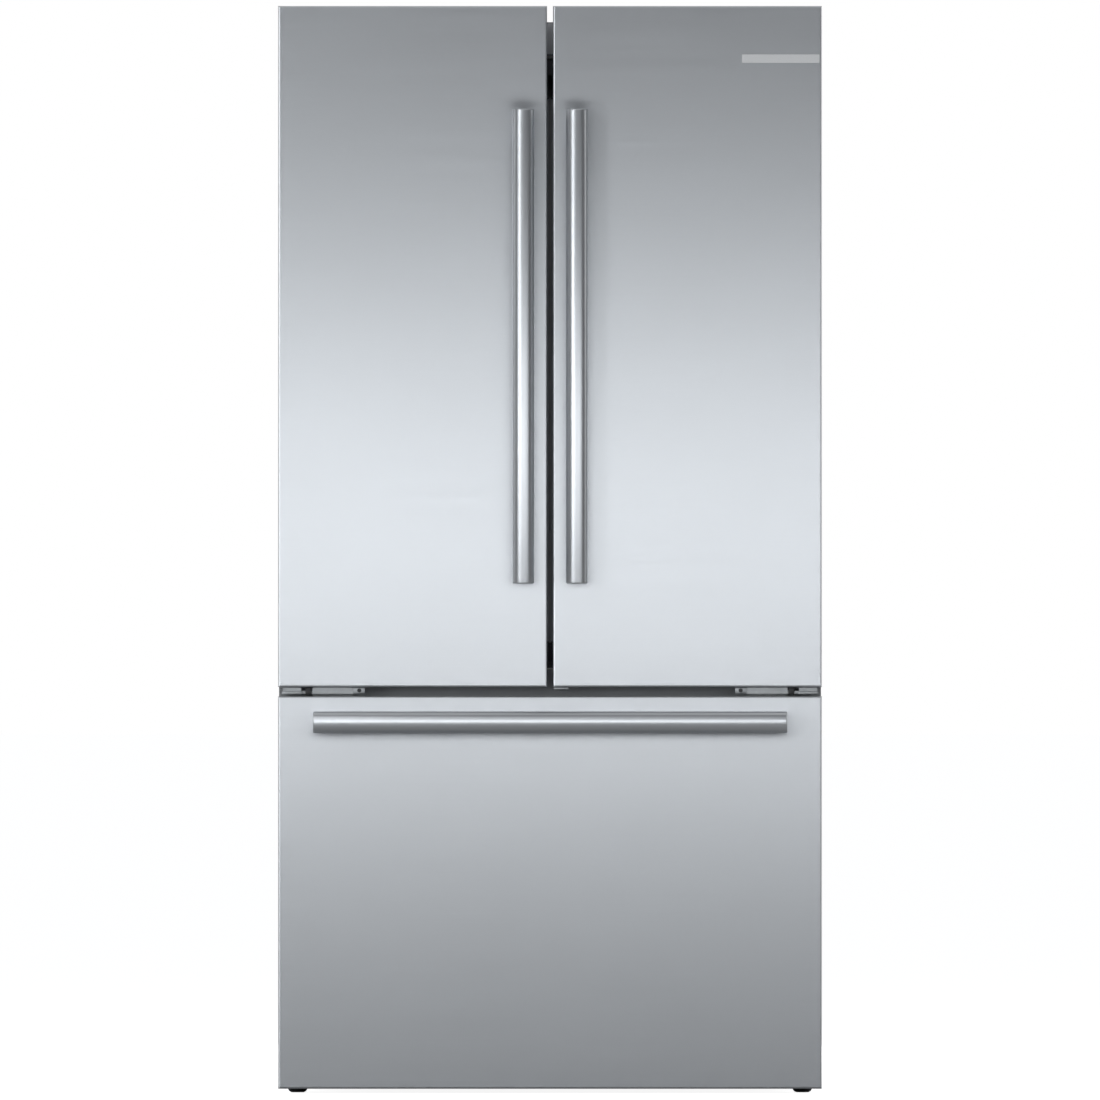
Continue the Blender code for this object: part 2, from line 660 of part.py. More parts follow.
def make_upright_handle(name, x, mats):
    back = FRONT_Y + HANDLE_D
    outline = [(x + a, back - b) for a, b in d_section(HANDLE_W, HANDLE_D)]
    bar = prism(name, outline, "Z", HANDLE_LOW, HANDLE_HIGH, mats["handle"])
    posts = []
    for z0 in (HANDLE_LOW + BITE, HANDLE_HIGH - POST_LENGTH - BITE):
        posts.append(((x - 0.013, back - 0.004, z0), (x + 0.013, DOOR_FACE - GAP, z0 + POST_LENGTH)))
    return join(bar, *posts)


def make_cross_handle(name, mats):
    back = FRONT_Y + HANDLE_D
    outline = [(back - b, FREEZER_HANDLE_Z + a) for a, b in d_section(HANDLE_W, HANDLE_D)]
    bar = prism(name, outline, "X", -FREEZER_HANDLE_X, FREEZER_HANDLE_X, mats["handle"])
    posts = []
    for x0 in (-FREEZER_HANDLE_X + BITE, FREEZER_HANDLE_X - POST_LENGTH - BITE):
        posts.append(((x0, back - 0.004, FREEZER_HANDLE_Z - 0.013),
                      (x0 + POST_LENGTH, DOOR_FACE - GAP, FREEZER_HANDLE_Z + 0.013)))
    return join(bar, *posts)


def make_bin(name, x0, x1, z0, height, mats):
    """Door bin, open at the top, that sits on lugs between the ribs."""
    return tray(name, (x0 + BIN_GAP, DOOR_BACK + 0.001, z0), (x1 - BIN_GAP, BIN_FRONT, z0 + height),
                BIN_WALL, mats["clear"])


def bin_lugs(x0, x1, bins):
    """For each end of a bin: a lug under it, and one over its edge against the door, to stop it tipping."""
    lugs = []
    for z0, height in bins:
        top = z0 + height
        for low, high in ((x0 - 0.001, x0 + LUG), (x1 - LUG, x1 + 0.001)):
            lugs.append(((low, DOOR_BACK - 0.004, z0 - 0.012), (high, DYKE_BACK - 0.002, z0 - GAP)))
            lugs.append(((low, DOOR_BACK - 0.004, top + GAP), (high, DOOR_BACK + 0.010, top + 0.010)))
    return lugs


def make_door(side, label, mats):
    """One french door and what is fixed to it."""
    x0, x1 = mirrored(side, DOOR_GAP / 2, HALF_W)
    skin = make_skin(f"{label}_door_skin", x0, x1, DOOR_BOTTOM, DOOR_TOP, mats)
    dx0, dx1 = mirrored(side, DYKE_IN, DYKE_OUT)
    inner = make_inner(f"{label}_door_liner", x0, x1, DOOR_BOTTOM, DOOR_TOP,
                       (dx0, dx1, DYKE_LOW, DYKE_HIGH), mats)
    # the hinge recess opens to the outside and rear, behind 5.5 mm of front
    nx0, nx1 = mirrored(side, HALF_W - 0.105, HALF_W + PAST)
    notch = ((nx0, DOOR_FACE + 0.0055, NOTCH_FLOOR), (nx1, 0.0, DOOR_TOP + PAST))
    cut(inner, notch)
    cut(skin, notch)
    hole = cylinder(f"{label}_hinge_hole", "Z", (side * HINGE_X, HINGE_Y, 0), HINGE_HOLE_R,
                    NOTCH_FLOOR - 0.018, NOTCH_FLOOR + PAST)
    combine(inner, hole, "DIFFERENCE")
    low_hole = cylinder(f"{label}_low_hole", "Z", (side * HINGE_X, HINGE_Y, 0), HINGE_HOLE_R,
                        DOOR_BOTTOM - PAST, DOOR_BOTTOM + 0.016)
    combine(inner, low_hole, "DIFFERENCE")
    combine(skin, low_hole, "DIFFERENCE")
    gx0, gx1 = mirrored(side, GASKET_IN, GASKET_OUT)
    gasket = make_ring(f"{label}_door_gasket", gx0, gx1, GASKET_LOW, GASKET_HIGH,
                       DOOR_BACK + GAP, GASKET_BACK, GASKET_WALL, mats["rubber"])
    lx0, lx1 = mirrored(side, *LIP_X)
    join(gasket, ((lx0, DOOR_BACK + 0.0005, LIP_Z[0]), (lx1, DOOR_BACK + 0.0045, LIP_Z[1])))
    handle = make_upright_handle(f"{label}_door_handle", side * HANDLE_X, mats)
    return [skin, inner, gasket, handle]


def add_mullion_arms(inner):
    """Two arms off the door's inner rib, with pins into the ends of the mullion."""
    for end, outward in ((MULLION_LOW, -1), (MULLION_HIGH, 1)):
        z0, z1 = sorted((end + outward * 0.0005, end + outward * 0.0055))
        join(inner, ((-DYKE_IN - 0.001, MULLION_Y - 0.005, z0), (MULLION_X + 0.004, MULLION_Y + 0.005, z1)))
        low, high = sorted((-outward * 0.010, outward * 0.003))
        pin = cylinder("mullion_pin", "Z", (MULLION_X, MULLION_Y, end), MULLION_PIN_R, low, high)
        combine(inner, pin, "UNION")


def make_mullion(mats):
    mullion = box("mullion", (MULLION_X - 0.010, MULLION_Y - 0.006, MULLION_LOW),
                  (MULLION_X + 0.006, MULLION_Y + 0.052, MULLION_HIGH), mats["dark"], 0.0015)
    for end, outward in ((MULLION_LOW, -1), (MULLION_HIGH, 1)):
        low, high = sorted((-outward * 0.012, outward * 0.010))
        bore = cylinder("mullion_bore", "Z", (MULLION_X, MULLION_Y, end), MULLION_PIN_R + SLIDE_GAP,
                        low, high)
        combine(mullion, bore, "DIFFERENCE")
    attach([mullion], "mullion_axis", (MULLION_X, MULLION_Y, 1.22))


def make_dairy_lid(x0, x1, inner, mats):
    """Lid on two pins that turn in the lugs over the dairy box's ends."""
    lid = box("dairy_lid", (x0 + LUG + 0.003, LID_Y - 0.0005, LID_Z - 0.0018),
              (x1 - LUG - 0.003, BIN_FRONT + 0.001, LID_Z + 0.0017), mats["clear"])
    axis = (0.0, LID_Y, LID_Z)
    for low, high in ((x0 - 0.002, x0 + LUG + 0.004), (x1 - LUG - 0.004, x1 + 0.002)):
        combine(lid, cylinder("dairy_pin", "X", axis, LID_PIN_R, low, high, segments=12), "UNION")
        bore = cylinder("dairy_bore", "X", axis, LID_PIN_R + PIN_PLAY, low - 0.0012, high + 0.0013,
                        segments=12)
        combine(inner, bore, "DIFFERENCE")
    attach([lid], "dairy_lid_axis", (0.225, LID_Y, LID_Z))


def make_doors(mats):
    left = make_door(-1, "left", mats)
    x0, x1 = mirrored(-1, DYKE_IN + DYKE_WALL, DYKE_OUT - DYKE_WALL)
    join(left[1], *bin_lugs(x0, x1, LEFT_BINS))
    add_mullion_arms(left[1])
    for label, (z0, height) in zip(("upper", "lower"), LEFT_BINS):
        left.append(make_bin(f"left_door_{label}_bin", x0, x1, z0, height, mats))
    attach(left, "left_door_axis", (-HINGE_X, HINGE_Y, 1.24))
    make_mullion(mats)

    right = make_door(1, "right", mats)
    x0, x1 = mirrored(1, DYKE_IN + DYKE_WALL, DYKE_OUT - DYKE_WALL)
    join(right[1], *bin_lugs(x0, x1, RIGHT_BINS))
    for name, (z0, height) in zip(("dairy_box", "right_door_lower_bin"), RIGHT_BINS):
        right.append(make_bin(name, x0, x1, z0, height, mats))
    make_dairy_lid(x0, x1, right[1], mats)
    right.append(box("badge_strip", (BADGE_X[0], DOOR_FACE - 0.0023, BADGE_Z[0]),
                     (BADGE_X[1], DOOR_FACE - GAP, BADGE_Z[1]), mats["badge"], 0.0006))
    attach(right, "right_door_axis", (HINGE_X, HINGE_Y, 1.24))


# ---------------------------------------------------------------- hinges
def make_hinges(mats):
    for side, label in ((-1, "left"), (1, "right")):
        x = side * HINGE_X
        x0, x1 = mirrored(side, HINGE_X - 0.008, HINGE_X + 0.008)
        top = box(f"{label}_top_hinge", (x0, HINGE_Y - 0.008, CAB_TOP + GAP),
                  (x1, -0.150, CAB_TOP + 0.0055), mats["zinc"])
        px0, px1 = mirrored(side, HINGE_X - 0.060, HINGE_X + 0.0085)
        join(top, ((px0, -0.225, CAB_TOP + 0.0005), (px1, -0.152, CAB_TOP + 0.0050)))
        pin = cylinder(f"{label}_top_pin", "Z", (x, HINGE_Y, 0), HINGE_PIN_R,
                       NOTCH_FLOOR - 0.015, CAB_TOP + 0.003)
        combine(top, pin, "UNION")
        cx0, cx1 = mirrored(side, HINGE_X - 0.068, HINGE_X + 0.022)
        cover = box(f"{label}_hinge_cover", (cx0, -0.238, CAB_TOP + GAP),
                    (cx1, -0.140, CAB_TOP + 0.022), mats["dark"], 0.004,
                    lambda e: any(v.co.z > CAB_TOP + 0.02 for v in e.verts))
        cut(cover, ((cx0 + 0.002, -0.26, 0.5), (cx1 - 0.002, -0.142, CAB_TOP + 0.019)))
        centre_hinge(side, label, mats)


def centre_hinge(side, label, mats):
    """Bracket between door and drawer, with a pin up into the door."""
    rear = CAB_FRONT - GAP
    x0, x1 = mirrored(side, HINGE_X - 0.095, HINGE_X + 0.020)
    bracket = box(f"{label}_centre_hinge", (x0, PLATE_FRONT, PLATE_LOW), (x1, rear, PLATE_HIGH),
                  mats["zinc"])
    # turned down against the divider rail that it bolts to, and turned up at the front
    fx0, fx1 = mirrored(side, HINGE_X - 0.094, HINGE_X - 0.027)
    join(bracket, ((fx0, rear - 0.0037, 0.6520), (fx1, rear - 0.0003, PLATE_HIGH - 0.0005)),
         ((fx0, PLATE_FRONT + 0.0005, PLATE_LOW + 0.0005), (fx1, PLATE_FRONT + 0.0035, 0.6758)))
    pin = cylinder(f"{label}_centre_pin", "Z", (side * HINGE_X, HINGE_Y, 0), HINGE_PIN_R,
                   PLATE_HIGH - 0.002, DOOR_BOTTOM + 0.013)
    combine(bracket, pin, "UNION")
    # the front outer corner is cut back; a door stop stands behind the cut and reaches forward over it
    bx0, bx1 = mirrored(side, HALF_W - 0.0565, HALF_W)
    cut(bracket, ((bx0, PLATE_FRONT - PAST, PLATE_LOW - 0.005),
                  (bx1, PLATE_FRONT + 0.008, PLATE_HIGH + 0.002)))
    sx0, sx1 = mirrored(side, HALF_W - 0.038, HALF_W - 0.0075)
    join(bracket, ((sx0, PLATE_FRONT + 0.0005, PLATE_HIGH - 0.0008), (sx1, PLATE_FRONT + 0.012, 0.6757)))


# ---------------------------------------------------------------- freezer drawer
def make_rails(mats):
    """Three-part runners: fixed channels, and middle rails held in them and tied at the rear."""
    for side, label in ((-1, "left"), (1, "right")):
        low, high = mirrored(side, RUNNER_IN, LINER_X - GAP)
        fixed = box(f"{label}_fixed_rail", (low, -0.230, RAIL_LOW - 0.005),
                    (high, 0.255, RAIL_HIGH + 0.005), mats["zinc"])
        low, high = mirrored(side, RUNNER_IN - 0.002, RUNNER_WEB)
        cut(fixed, ((low, -0.250, RAIL_LOW - SLIDE_GAP), (high, 0.270, RAIL_HIGH + SLIDE_GAP)))
    middle = box("middle_rails", (-MIDDLE_OUT, -0.225, RAIL_LOW), (-MIDDLE_IN, 0.205, RAIL_HIGH),
                 mats["zinc"])
    join(middle, ((MIDDLE_IN, -0.225, RAIL_LOW), (MIDDLE_OUT, 0.205, RAIL_HIGH)))
    grooves = []
    for side in (-1, 1):
        low, high = mirrored(side, MIDDLE_IN - 0.001, TONGUE_X + SLIDE_GAP)
        grooves.append(((low, -0.250, FRAME_LOW + 0.0025), (high, 0.220, FRAME_HIGH - 0.0025)))
    cut(middle, *grooves)
    tie_x = TONGUE_X + 0.0015
    join(middle, ((-tie_x, 0.190, FRAME_LOW + 0.003), (tie_x, 0.202, FRAME_HIGH - 0.003)))
    attach([middle], "middle_rails_axis", (0.0, 0.0, 0.356))


def make_drawer_frame(mats):
    """Side bars with a tongue in the middle rails, a cross bar, and plates bolted to the front."""
    front = DYKE_BACK + GAP
    frame = box("drawer_frame", (-FRAME_OUT, front, FRAME_LOW), (-FRAME_IN, 0.170, FRAME_HIGH), mats["zinc"])
    join(frame, ((FRAME_IN, front, FRAME_LOW), (FRAME_OUT, 0.170, FRAME_HIGH)))
    join(frame, ((-FRAME_IN - 0.001, front, 0.349), (FRAME_IN + 0.001, front + 0.0097, 0.363)))
    for side in (-1, 1):
        low, high = mirrored(side, FRAME_OUT - 0.001, TONGUE_X)
        join(frame, ((low, front + 0.001, FRAME_LOW + 0.003), (high, 0.169, FRAME_HIGH - 0.003)))
        low, high = mirrored(side, FRAME_IN + 0.0002, FRAME_IN + 0.007)
        join(frame, ((low, front, 0.300), (high, front + 0.003, 0.420)))
    return frame


def make_freezer_basket(mats):
    """Basket that hangs by its side lips from the drawer frame."""
    y0, y1 = LOAD_FRONT, 0.055
    basket = tray("freezer_basket", (-BASKET_X, y0, 0.122), (BASKET_X, y1, FRAME_HIGH + 0.0023), 0.003,
                  mats["white"])
    for side in (-1, 1):
        low, high = mirrored(side, BASKET_X - 0.002, FRAME_IN + 0.0045)
        join(basket, ((low, y0, FRAME_HIGH + GAP), (high, y1, FRAME_HIGH + 0.0023)))
    return basket


def make_freezer_tray(mats):
    """Tray whose side legs stand and slide on the drawer frame, outside the basket's lips."""
    y0, y1 = LOAD_FRONT, 0.045
    upper = tray("freezer_tray", (-TRAY_X, y0, TRAY_Z), (TRAY_X, y1, TRAY_Z + 0.100), 0.003, mats["clear"])
    for side in (-1, 1):
        low, high = mirrored(side, TRAY_X - 0.002, TRAY_LEG_X + 0.003)
        join(upper, ((low, y0, TRAY_Z), (high, y1, TRAY_Z + 0.003)))
        low, high = mirrored(side, TRAY_LEG_X, TRAY_LEG_X + 0.003)
        join(upper, ((low, y0, FRAME_HIGH + GAP), (high, y1, TRAY_Z + 0.0015)))
    attach([upper], "freezer_tray_axis", (0.0, 0.0, 0.45))


def make_freezer_drawer(mats):
    skin = make_skin("freezer_front_skin", -HALF_W, HALF_W, DRAWER_BOTTOM, DRAWER_TOP, mats)
    inner = make_inner("freezer_front_liner", -HALF_W, HALF_W, DRAWER_BOTTOM, DRAWER_TOP,
                       FREEZER_RIBS, mats)
    gasket = make_ring("freezer_gasket", *FREEZER_SEAL, DOOR_BACK + GAP, GASKET_BACK, GASKET_WALL,
                       mats["rubber"])
    handle = make_cross_handle("freezer_handle", mats)
    frame = make_drawer_frame(mats)
    basket = make_freezer_basket(mats)
    attach([skin, inner, gasket, handle, frame, basket], "freezer_drawer_axis", (0.0, DOOR_FACE, 0.33))
    make_freezer_tray(mats)


# ---------------------------------------------------------------- feet and rollers
def make_ground_parts(mats):
    for side, label in ((-1, "left"), (1, "right")):
        foot = [(0, 0), (FOOT_R * 0.62, 0), (FOOT_R * 0.84, 0.0018), (FOOT_R * 0.96, 0.0048),
                (FOOT_R, 0.0085), (FOOT_R, 0.015), (STUD_R, 0.017), (STUD_R, STUD_TOP), (0, STUD_TOP)]
        piece = lathe(f"{label}_foot", foot, "Z", (side * FOOT_X, FOOT_Y, 0), mats["dark"])
        attach([piece], f"{label}_foot_axis", (side * FOOT_X, FOOT_Y, 0.0))
        wheel = [(0, -0.024), (AXLE_R, -0.024), (AXLE_R, -0.0155), (ROLLER_R, -0.0155),
                 (ROLLER_R, 0.0155), (AXLE_R, 0.0155), (AXLE_R, 0.024), (0, 0.024)]
        roller = lathe(f"{label}_roller", wheel, "X", (side * ROLLER_X, ROLLER_Y, ROLLER_R),
                       mats["dark"])
        attach([roller], f"{label}_roller_axis", (side * ROLLER_X, ROLLER_Y, ROLLER_R))


def main():
    for obj in list(bpy.data.objects):
        bpy.data.objects.remove(obj)
    mats = make_materials()
    make_foam(mats)
    make_liners(mats)
    make_casing(mats)
    make_base(mats)
    make_machine_space(mats)
    make_fan(mats)
    make_interior(mats)
    make_shelves(mats)
    make_crispers(mats)
    make_doors(mats)
    make_hinges(mats)
    make_rails(mats)
    make_freezer_drawer(mats)
    make_ground_parts(mats)


main()
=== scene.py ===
"""Looks of the french door refrigerator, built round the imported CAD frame."""
import json
import math

import bmesh
import bpy
from mathutils import Matrix, Vector


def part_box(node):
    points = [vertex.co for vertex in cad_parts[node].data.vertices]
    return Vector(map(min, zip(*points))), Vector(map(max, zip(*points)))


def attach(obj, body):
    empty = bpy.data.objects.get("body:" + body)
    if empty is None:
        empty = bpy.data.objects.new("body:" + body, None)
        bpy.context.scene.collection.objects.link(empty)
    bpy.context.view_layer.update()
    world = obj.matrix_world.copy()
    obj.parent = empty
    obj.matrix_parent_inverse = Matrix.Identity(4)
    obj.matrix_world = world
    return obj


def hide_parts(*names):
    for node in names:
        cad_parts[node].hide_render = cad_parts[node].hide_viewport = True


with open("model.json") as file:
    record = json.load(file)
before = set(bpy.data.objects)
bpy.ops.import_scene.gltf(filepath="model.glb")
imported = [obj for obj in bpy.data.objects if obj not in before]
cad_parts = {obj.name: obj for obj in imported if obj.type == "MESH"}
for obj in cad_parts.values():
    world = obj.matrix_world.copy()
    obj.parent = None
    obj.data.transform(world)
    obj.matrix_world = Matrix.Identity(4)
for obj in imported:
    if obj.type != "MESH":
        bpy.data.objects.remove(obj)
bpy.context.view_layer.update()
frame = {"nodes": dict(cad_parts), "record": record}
nodes = frame["nodes"]


# ---------------------------------------------------------------- node helpers
class Shader:
    """A Principled material with a few short calls for the nodes that feed it."""

    def __init__(self, name, colour, roughness, metallic=0.0):
        self.mat = bpy.data.materials.new(name)
        self.mat.use_nodes = True
        self.tree = self.mat.node_tree
        self.bsdf = self.tree.nodes["Principled BSDF"]
        self.set("Base Color", (*colour, 1.0))
        self.set("Roughness", roughness)
        self.set("Metallic", metallic)
        self.coords = self.add("ShaderNodeTexCoord").outputs["Object"]

    def add(self, kind, **values):
        node = self.tree.nodes.new(kind)
        for key, value in values.items():
            setattr(node, key, value)
        return node

    def set(self, socket, value):
        self.bsdf.inputs[socket].default_value = value

    def link(self, output, target):
        self.tree.links.new(output, target)
        return output

    def stretch(self, scale):
        """The object's coordinates, scaled by a vector."""
        mapping = self.add("ShaderNodeMapping")
        mapping.inputs["Scale"].default_value = scale
        self.link(self.coords, mapping.inputs["Vector"])
        return mapping.outputs["Vector"]

    def noise(self, scale, size=1.0, detail=4.0):
        node = self.add("ShaderNodeTexNoise")
        node.inputs["Scale"].default_value = size
        node.inputs["Detail"].default_value = detail
        self.link(self.stretch(scale), node.inputs["Vector"])
        return node.outputs["Fac"]

    def remap(self, value, low, high, start=0.3, end=0.7):
        node = self.add("ShaderNodeMapRange")
        node.inputs["From Min"].default_value = start
        node.inputs["From Max"].default_value = end
        node.inputs["To Min"].default_value = low
        node.inputs["To Max"].default_value = high
        self.link(value, node.inputs["Value"])
        return node.outputs["Result"]

    def blend(self, factor, first, second):
        node = self.add("ShaderNodeMix", data_type="RGBA")
        node.inputs["A"].default_value = (*first, 1.0)
        node.inputs["B"].default_value = (*second, 1.0)
        self.link(factor, node.inputs["Factor"])
        return node.outputs["Result"]

    def bump(self, height, strength, distance):
        node = self.add("ShaderNodeBump")
        node.inputs["Strength"].default_value = strength
        node.inputs["Distance"].default_value = distance
        self.link(height, node.inputs["Height"])
        self.link(node.outputs["Normal"], self.bsdf.inputs["Normal"])

    def colour(self, output):
        self.link(output, self.bsdf.inputs["Base Color"])

    def rough(self, output):
        self.link(output, self.bsdf.inputs["Roughness"])


def tone(colour, factor):
    return tuple(min(1.0, channel * factor) for channel in colour)


# ---------------------------------------------------------------- materials
STEEL = (0.655, 0.672, 0.695)


def brushed(name, colour, roughness, grain, depth):
    """Brushed metal; grain is the coordinate scale, smallest along the strokes."""
    shade = Shader(name, colour, roughness, 1.0)
    strokes = shade.noise(grain, 1.0, 6.0)
    cloud = shade.noise((2.2, 2.2, 1.6), 1.0, 3.0)
    mixed = shade.add("ShaderNodeMath", operation="MULTIPLY_ADD")
    shade.link(strokes, mixed.inputs[0])
    mixed.inputs[1].default_value = 0.75
    shade.link(shade.remap(cloud, 0.0, 0.25), mixed.inputs[2])
    shade.colour(shade.blend(mixed.outputs[0], tone(colour, 0.955), tone(colour, 1.035)))
    shade.rough(shade.remap(strokes, roughness - 0.035, roughness + 0.035))
    shade.bump(strokes, depth, 0.0002)
    return shade.mat


def painted(name, colour, roughness, grain=420.0, depth=0.25):
    """Powder coat with a fine pebble."""
    shade = Shader(name, colour, roughness)
    pebble = shade.noise((grain, grain, grain), 1.0, 2.0)
    cloud = shade.noise((3.0, 3.0, 3.0), 1.0, 3.0)
    shade.colour(shade.blend(cloud, tone(colour, 0.90), tone(colour, 1.08)))
    shade.rough(shade.remap(pebble, roughness - 0.06, roughness + 0.08))
    shade.bump(pebble, depth, 0.0004)
    return shade.mat


def plastic(name, colour, roughness, grain=700.0, depth=0.08):
    """Moulded plastic with a faint texture from the tool."""
    shade = Shader(name, colour, roughness)
    texture = shade.noise((grain, grain, grain), 1.0, 2.0)
    cloud = shade.noise((5.0, 5.0, 5.0), 1.0, 2.0)
    shade.colour(shade.blend(cloud, tone(colour, 0.96), tone(colour, 1.03)))
    shade.rough(shade.remap(texture, roughness - 0.04, roughness + 0.06))
    shade.bump(texture, depth, 0.0002)
    return shade.mat


def clear(name, colour, roughness, transmission=0.9):
    shade = Shader(name, colour, roughness)
    shade.set("Transmission Weight", transmission)
    shade.set("IOR", 1.49)
    ripple = shade.noise((22.0, 22.0, 22.0), 1.0, 2.0)
    shade.rough(shade.remap(ripple, max(0.0, roughness - 0.03), roughness + 0.05))
    shade.bump(ripple, 0.05, 0.0004)
    return shade.mat


def zinc(name, colour, roughness):
    """Zinc plate with its pale spangle."""
    shade = Shader(name, colour, roughness, 1.0)
    cells = shade.add("ShaderNodeTexVoronoi")
    cells.inputs["Scale"].default_value = 1.0
    shade.link(shade.stretch((90.0, 90.0, 90.0)), cells.inputs["Vector"])
    tint = shade.remap(cells.outputs["Distance"], 0.0, 1.0, 0.1, 0.8)
    shade.colour(shade.blend(tint, tone(colour, 0.86), tone(colour, 1.08)))
    shade.rough(shade.remap(cells.outputs["Distance"], roughness - 0.08, roughness + 0.10, 0.1, 0.8))
    shade.bump(cells.outputs["Distance"], 0.08, 0.0003)
    return shade.mat


MATERIALS = {
    "panel": brushed("steel_front", STEEL, 0.37, (3.0, 3.0, 1500.0), 0.10),
    "bar_upright": brushed("steel_bar_upright", tone(STEEL, 1.10), 0.36, (900.0, 900.0, 4.0), 0.06),
    "bar_cross": brushed("steel_bar_cross", tone(STEEL, 1.10), 0.36, (4.0, 900.0, 900.0), 0.06),
    "badge": painted("badge_plate", (0.97, 0.98, 0.99), 0.22, 600.0, 0.05),
    "casing": painted("casing_paint", (0.330, 0.340, 0.355), 0.46),
    # grey_strip and flange: light greys for faces deep in the door gaps; part of their lightness is
    # painted light, standing in for light that reaches into the gaps
    "grey_strip": painted("grey_strip", (0.58, 0.59, 0.61), 0.5),
    "flange": painted("flange_paint", (0.74, 0.75, 0.77), 0.5),
    "zinc": zinc("zinc_plate", (0.35, 0.36, 0.37), 0.40),
    "white": plastic("liner_plastic", (0.83, 0.84, 0.85), 0.28),
    "foam": plastic("rigid_foam", (0.72, 0.64, 0.42), 0.85, 160.0, 0.5),
    "rubber": plastic("gasket_rubber", (0.115, 0.120, 0.126), 0.62, 500.0, 0.2),
    "dark": plastic("dark_plastic", (0.022, 0.022, 0.024), 0.48, 600.0, 0.25),
    "black": painted("compressor_paint", (0.015, 0.015, 0.016), 0.28, 300.0, 0.15),
    "alu": brushed("fin_aluminium", (0.78, 0.79, 0.80), 0.34, (500.0, 60.0, 60.0), 0.12),
    "clear": clear("clear_plastic", (0.93, 0.96, 0.98), 0.06),
    "glass": clear("shelf_glass", (0.86, 0.95, 0.92), 0.02, 0.95),
}

SLOT_LOOKS = {
    "brushed_steel": "panel", "painted_grey": "casing", "zinc_plate": "zinc", "foam": "foam",
    "white_liner": "white", "gasket_rubber": "rubber", "dark_plastic": "dark",
    "clear_plastic": "clear", "shelf_glass": "glass", "badge_metal": "badge",
    "compressor_black": "black", "fin_aluminium": "alu", "handle_steel": "bar_upright",
}


def paint(obj, look):
    obj.data.materials.clear()
    obj.data.materials.append(MATERIALS[look])


def paint_frame():
    for entry in frame["record"]["subparts"]:
        paint(nodes[entry["node"]], SLOT_LOOKS[entry["material_slot"]])
    paint(nodes["freezer_handle"], "bar_cross")


# ---------------------------------------------------------------- mesh helpers
def add_piece(name, bm, body, look, smooth=False):
    """Turn a bmesh into a painted piece that rides on a CAD body."""
    bmesh.ops.recalc_face_normals(bm, faces=bm.faces)
    mesh = bpy.data.meshes.new(name)
    bm.to_mesh(mesh)
    bm.free()
    obj = bpy.data.objects.new(name, mesh)
    bpy.context.collection.objects.link(obj)
    if smooth:
        mesh.shade_smooth()
        mesh.set_sharp_from_angle(angle=math.radians(32))
    paint(obj, look)
    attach(obj, body)
    return obj


def add_block(bm, low, high, radius=0.0, segments=3):
    """A box between two corners, with rounded edges if a radius is given."""
    size = Vector(high) - Vector(low)
    place = Matrix.Translation((Vector(high) + Vector(low)) / 2) @ Matrix.Diagonal((*size, 1.0))
    verts = bmesh.ops.create_cube(bm, size=1.0, matrix=place)["verts"]
    if radius:
        edges = list({edge for vert in verts for edge in vert.link_edges})
        bmesh.ops.bevel(bm, geom=edges, offset=radius, segments=segments, profile=0.5,
                        affect="EDGES")
    return verts


def blocks(name, boxes, body, look, radius=0.001, segments=2):
    bm = bmesh.new()
    for low, high in boxes:
        add_block(bm, low, high, radius, segments)
    return add_piece(name, bm, body, look, smooth=True)


def add_disc(bm, centre, axis, radius, height, segments=28, crown=0.0):
    """A short round piece along a world axis, with an optional chamfered top."""
    turn = {"X": Matrix.Rotation(math.pi / 2, 4, "Y"), "Y": Matrix.Rotation(math.pi / 2, 4, "X"),
            "Z": Matrix.Identity(4)}[axis]
    place = Matrix.Translation(centre) @ turn
    made = bmesh.ops.create_cone(bm, cap_ends=True, segments=segments, radius1=radius,
                                 radius2=radius - crown, depth=height, matrix=place)
    return made["verts"]


def loft(bm, sections):
    """Skin a closed piece through rings of points, and cap both ends."""
    rings = [[bm.verts.new(point) for point in section] for section in sections]
    count = len(rings[0])
    for lower, upper in zip(rings, rings[1:]):
        for index in range(count):
            after = (index + 1) % count
            bm.faces.new((lower[index], lower[after], upper[after], upper[index]))
    bm.faces.new(rings[0])
    bm.faces.new(rings[-1])


# ---------------------------------------------------------------- handles
BAR_DEPTH = 0.024
BAR_BACK = 0.45              # share of the bar's depth that is straight-sided
EDGE_ROUND = 0.0022          # how far the ends of a bar are rounded in
POST_LENGTH = 0.054
POST_HALF = 0.0125           # half the width of a post


def bar_section(width, depth, inset, steps=28):
    """Bar outline as (across, forward): a flat back and an elliptic crown, shrunk by inset."""
    half = width / 2 - inset
    base = depth * BAR_BACK
    points = [(half - 0.0015, inset), (half, inset + 0.0015), (half, base)]
    for index in range(1, steps):
        angle = math.pi * index / steps
        points.append((half * math.cos(angle), base + (depth - base - inset) * math.sin(angle)))
    points += [(-half, base), (-half, inset + 0.0015), (-half + 0.0015, inset)]
    return points


def bar_rings(low, high):
    """Positions along the bar and how much each ring is drawn in, for rounded ends."""
    rings = []
    for index in range(5):
        angle = math.pi / 2 * index / 4
        rings.append((EDGE_ROUND * (1 - math.sin(angle)), EDGE_ROUND * (1 - math.cos(angle))))
    start = [(low + along, inset) for inset, along in rings]
    finish = [(high - along, inset) for inset, along in reversed(rings)]
    return start + finish


